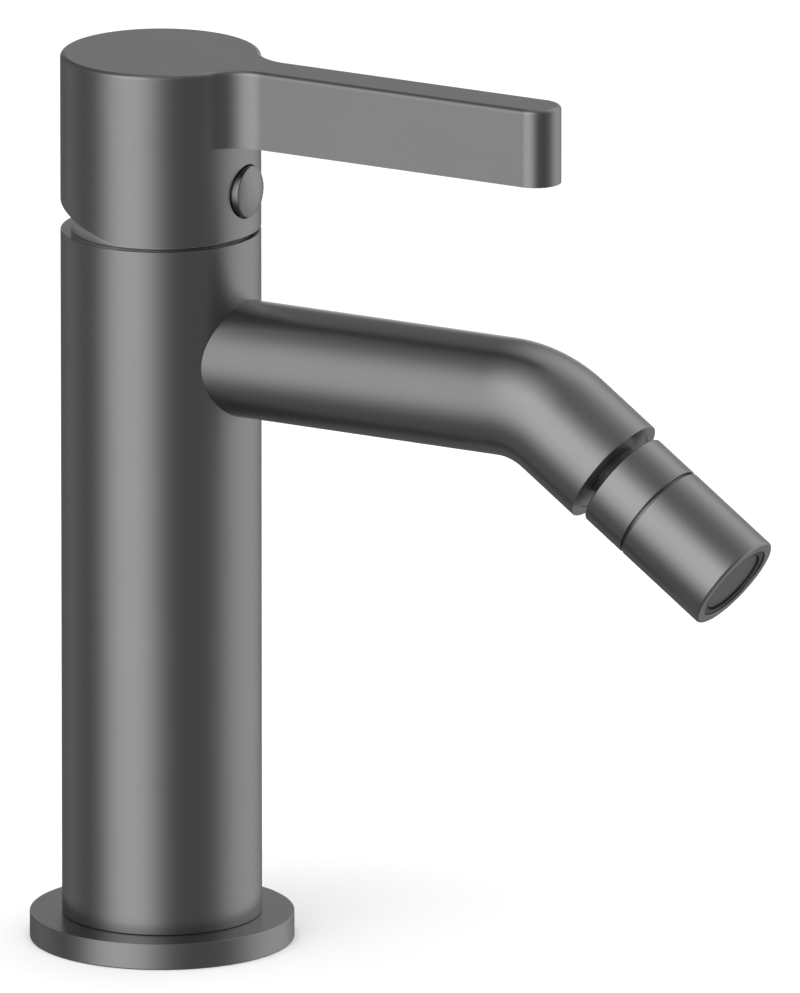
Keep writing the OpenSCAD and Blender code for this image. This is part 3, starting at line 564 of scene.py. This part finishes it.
def handle_wall_normal(wall, place):
    """The sideways normal of that part of the wall."""
    level = Vector((place.x, place.y, 0))
    if wall == "end":
        return (level - FORWARD * arm_end_x).normalized()
    if wall == "arm":
        return Vector((0, math.copysign(1, place.y), 0))
    if wall == "hollow":
        return (Vector((hollow_x, math.copysign(hollow_y, place.y), 0)) - level).normalized()
    return level.normalized()


def handle_normal(wall, flat, place):
    """The true normal of the handle's surface at a place of a face with that flat normal."""
    outward = handle_wall_normal(wall, place)
    lift = (place.z - (handle_high.z - handle_top_edge)) / handle_top_edge
    if lift > ROUNDING_BEGINS and flat.z > RISES:
        rise = min(lift, 1.0)
        return (outward * math.sqrt(1 - rise * rise) + UP * rise).normalized()
    upright = abs(flat.z) < UPRIGHT
    if upright and flat.dot(outward) > FITS:
        return outward
    radial = Vector((place.x, place.y, 0)).normalized()
    if upright and flat.dot(radial) < -FITS:
        return -radial
    return flat


def recess_arc(place):
    """The rounding round the plug's recess, beside a place: its middle, and its ends on wall and bore."""
    around = math.atan2(place.z - plug_z, place.y)
    side = math.cos(around)
    rise = math.sin(around)
    reach = recess_r + recess_fillet
    middle_x = math.sqrt((column_r - recess_fillet) ** 2 - (reach * side) ** 2)
    middle = Vector((middle_x, reach * side, plug_z + reach * rise))
    on_wall = Vector((middle.x, middle.y, 0)).normalized() * column_r + UP * middle.z
    in_bore = Vector((middle.x, recess_r * side, plug_z + recess_r * rise))
    return middle, on_wall, in_bore


def on_recess_edge(place):
    """Says whether a place lies where the recess's bore meets the cap's wall."""
    from_wall = abs(math.hypot(place.x, place.y) - column_r)
    from_bore = abs(math.hypot(place.y, place.z - plug_z) - recess_r)
    return place.x > 0 and from_wall < NEAR and from_bore < NEAR


def parted_recess_edge(shape):
    """Parts the faces at the recess's edge. Gives the edge's points on the wall, and those in the bore."""
    edges = [edge for edge in shape.edges if all(on_recess_edge(end.co) for end in edge.verts)]
    bmesh.ops.split_edges(shape, edges=edges)
    on_wall = []
    in_bore = []
    for vertex in shape.verts:
        if not on_recess_edge(vertex.co):
            continue
        middle = vertex.link_faces[0].calc_center_median()
        outside = math.hypot(middle.y, middle.z - plug_z) > recess_r + NEAR / 2
        rim = on_wall if outside else in_bore
        rim.append(vertex)
    for rim in (on_wall, in_bore):
        rim.sort(key=lambda vertex: math.atan2(vertex.co.z - plug_z, vertex.co.y))
    return on_wall, in_bore


def round_recess(shape):
    """Rounds the edge where the plug's recess meets the cap's wall. Gives the new faces."""
    wall_rim, bore_rim = parted_recess_edge(shape)
    arcs = [recess_arc(vertex.co) for vertex in wall_rim]
    rows = [wall_rim]
    for step in range(1, ROUND_STEPS):
        row = []
        for middle, on_wall, in_bore in arcs:
            out = (on_wall - middle).slerp(in_bore - middle, step / ROUND_STEPS).normalized()
            row.append(shape.verts.new(middle + out * recess_fillet))
        rows.append(row)
    rows.append(bore_rim)
    for vertex, (_, on_wall, _) in zip(wall_rim, arcs):
        vertex.co = on_wall
    for vertex in bore_rim:
        _, _, in_bore = recess_arc(vertex.co)
        vertex.co = in_bore
    faces = []
    for upper, lower in zip(rows, rows[1:]):
        for here in range(len(arcs)):
            beside = (here + 1) % len(arcs)
            faces.append(shape.faces.new((upper[here], upper[beside], lower[beside], lower[here])))
    return faces


def lever_handle_skin():
    """The handle, with the true normals of its rounded faces and the recess's edge rounded."""
    shape = bmesh.new()
    shape.from_mesh(nodes["lever_handle"].data)
    bmesh.ops.remove_doubles(shape, verts=shape.verts, dist=MERGED)
    made = round_recess(shape)
    shape.faces.index_update()
    rounded = {face.index for face in made}
    mesh = bpy.data.meshes.new("lever_handle_skin")
    shape.to_mesh(mesh)
    shape.free()

    def normal_at(face, flat, place):
        if face.index in rounded:
            middle, _, _ = recess_arc(place)
            return (place - middle).normalized()
        return handle_normal(handle_wall(face.center), flat, place)

    return with_true_normals(mesh, normal_at)


def swivel_ball_skin():
    """The ball, with the true normals of its sphere and neck."""
    mesh = nodes["swivel_ball"].data.copy()
    mesh.name = "swivel_ball_skin"

    def normal_at(face, flat, place):
        offset = place - ball_centre
        from_centre = offset.normalized()
        from_axis = (offset - nozzle_axis * offset.dot(nozzle_axis)).normalized()
        if abs(offset.length - ball_r) < NEAR and flat.dot(from_centre) > FITS:
            return from_centre
        if flat.dot(from_axis) > FITS:
            return from_axis
        return flat

    return with_true_normals(mesh, normal_at)


# The pieces, each on its body and in its solid's place

base = new_piece("base_flange_skin", base_flange_skin(), "mixer", "gunmetal")
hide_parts("base_flange")

column = new_piece("column_skin", column_skin(), "mixer", "gunmetal")
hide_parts("column")

spout = new_piece("spout_skin", spout_skin(), "mixer", "gunmetal_spout")
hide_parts("spout")

cover = new_piece("nut_cover_skin", nut_cover_skin(), "mixer", "plated")
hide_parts("nut_cover")

collar = new_piece("swivel_collar_skin", swivel_collar_skin(), "nozzle", "gunmetal_nozzle")
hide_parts("swivel_collar")

sleeve = new_piece("nozzle_sleeve_skin", nozzle_sleeve_skin(), "nozzle", "gunmetal_nozzle")
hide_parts("nozzle_sleeve")

handle = new_piece("lever_handle_skin", lever_handle_skin(), "handle", "gunmetal")
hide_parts("lever_handle")

ball = new_piece("swivel_ball_skin", swivel_ball_skin(), "ball", "plated")
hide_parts("swivel_ball")

plug = new_piece("cover_plug_skin", cover_plug_skin(), "handle", "gunmetal")
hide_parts("cover_plug")

for subpart in frame["record"]["subparts"]:
    set_finish(nodes[subpart["node"]].data, subpart["material_slot"])


# Studio

CAMERA_AZIMUTH = math.radians(30.1)
CAMERA_ELEVATION = math.radians(14.75)
LENS = 1300.0
SENSOR = 36.0
CLIP_START = 0.1
CLIP_END = 30
# Height of the picture at the object, and where its middle lies, in the picture's own right and up
PICTURE_HEIGHT = 168.8 * MM
PICTURE_RIGHT = 40.43 * MM
PICTURE_UP = 74.48 * MM

# Soft boxes: where each one is and how large, and its brightness. The first four numbers are its azimuth
# to the right of the camera, its elevation, half its width and half its height, in degrees.
SOFT_BOXES = [
    ((-36, 8, 32, 38.5), 1.22),
    ((-43, 51, 15, 23), 0.65),
    ((112, 8, 38, 51), 0.72),
    ((153, 48, 20.5, 30), 0.43),
    ((-124, -18, 18, 42), 0.12),
]
DIM_ROOM = 0.163
# The white backdrop that the metal sees behind the object, in the same terms
BACKDROP = (180, 2, 14, 9.4)
# How steeply a box's brightness falls at its edge
EDGE_POWER = 3.0
WHITE = (1, 1, 1, 1)

FLOOR_HALF = 4.0
FLOOR_DROP = 0.05 * MM
FLOOR_COLOUR = (0.9, 0.9, 0.9, 1)
FLOOR_LIGHT_PLACE = (0.2, -0.3, 2.6)
FLOOR_LIGHT_SIZE = 3.0
FLOOR_LIGHT_WATTS = 78.0


def studio_world():
    """Soft boxes all round for what the object's surfaces see, with a white backdrop behind the object.

    The camera sees the backdrop's white all over.
    """
    world = bpy.data.worlds.new("studio")
    bpy.context.scene.world = world
    world.use_nodes = True
    tree = Nodes(world.node_tree)
    looking = tree.add("ShaderNodeTexCoord").outputs["Generated"]
    direction = tree.add("ShaderNodeSeparateXYZ", {"Vector": looking}).outputs
    azimuth = tree.math("ARCTAN2", direction["Y"], direction["X"])
    elevation = tree.math("ARCSINE", direction["Z"])

    def panel(box_azimuth, box_elevation, half_width, half_height):
        """A soft-edged panel: 1 in its middle, 0 far from it."""
        facing = math.radians(box_azimuth) + CAMERA_AZIMUTH - math.pi / 2
        turn = tree.math("SUBTRACT", azimuth, facing)
        wrapped = tree.math("ARCTAN2", tree.math("SINE", turn), tree.math("COSINE", turn))
        sideways = tree.math("MULTIPLY", wrapped, tree.math("COSINE", elevation))
        upwards = tree.math("SUBTRACT", elevation, math.radians(box_elevation))
        across = tree.math("DIVIDE", sideways, math.radians(half_width))
        above = tree.math("DIVIDE", upwards, math.radians(half_height))
        falls = [tree.math("POWER", tree.math("ABSOLUTE", share), EDGE_POWER) for share in (across, above)]
        return tree.math("EXPONENT", tree.math("MULTIPLY", tree.math("ADD", *falls), -1.0))

    total = DIM_ROOM
    for place, brightness in SOFT_BOXES:
        total = tree.math("ADD", total, tree.math("MULTIPLY", panel(*place), brightness))
    studio = tree.add("ShaderNodeBackground", {"Color": WHITE, "Strength": total})
    white = tree.add("ShaderNodeBackground", {"Color": WHITE, "Strength": 1.0})
    ray = tree.add("ShaderNodeLightPath").outputs
    seen_white = tree.math("MAXIMUM", ray["Is Camera Ray"], ray["Is Transmission Ray"])
    seen_white = tree.math("MAXIMUM", seen_white, panel(*BACKDROP))
    shader = tree.add("ShaderNodeMixShader", {0: seen_white, 1: studio.outputs[0], 2: white.outputs[0]})
    tree.add("ShaderNodeOutputWorld", {"Surface": shader.outputs[0]})


def pale_floor():
    """A plain floor under the object. Metal doesn't mirror it, and sees the studio's lower half instead."""
    mesh = bpy.data.meshes.new("floor")
    corners = [
        (-FLOOR_HALF, -FLOOR_HALF, 0),
        (FLOOR_HALF, -FLOOR_HALF, 0),
        (FLOOR_HALF, FLOOR_HALF, 0),
        (-FLOOR_HALF, FLOOR_HALF, 0),
    ]
    mesh.from_pydata(corners, [], [(0, 1, 2, 3)])
    floor = bpy.data.objects.new("floor", mesh)
    floor.location.z = -FLOOR_DROP
    floor.visible_glossy = False
    bpy.context.scene.collection.objects.link(floor)
    paint = bpy.data.materials.new("floor")
    paint.use_nodes = True
    tree = Nodes(paint.node_tree)
    shader = tree.add("ShaderNodeBsdfDiffuse", {"Color": FLOOR_COLOUR})
    tree.add("ShaderNodeOutputMaterial", {"Surface": shader.outputs[0]})
    mesh.materials.append(paint)


def floor_light():
    """A large soft light over the floor, out of the metal's sight."""
    data = bpy.data.lights.new("floor_light", "AREA")
    data.shape = "DISK"
    data.size = FLOOR_LIGHT_SIZE
    data.energy = FLOOR_LIGHT_WATTS
    light = bpy.data.objects.new("floor_light", data)
    light.location = FLOOR_LIGHT_PLACE
    light.visible_glossy = False
    bpy.context.scene.collection.objects.link(light)


def photo_camera():
    """A long lens at the photograph's angle."""
    right = Vector((math.cos(CAMERA_AZIMUTH), math.sin(CAMERA_AZIMUTH), 0))
    level_back = Vector((math.sin(CAMERA_AZIMUTH), -math.cos(CAMERA_AZIMUTH), 0))
    back = level_back * math.cos(CAMERA_ELEVATION) + UP * math.sin(CAMERA_ELEVATION)
    up = back.cross(right)
    distance = PICTURE_HEIGHT * LENS / SENSOR
    data = bpy.data.cameras.new("camera")
    data.lens = LENS
    data.sensor_width = SENSOR
    data.clip_start = CLIP_START
    data.clip_end = CLIP_END
    camera = bpy.data.objects.new("camera", data)
    camera.location = right * PICTURE_RIGHT + up * PICTURE_UP + back * distance
    camera.rotation_mode = "QUATERNION"
    camera.rotation_quaternion = (-back).to_track_quat("-Z", "Y")
    bpy.context.scene.collection.objects.link(camera)
    bpy.context.scene.camera = camera


studio_world()
pale_floor()
floor_light()
photo_camera()
bpy.context.scene.view_settings.view_transform = "Standard"
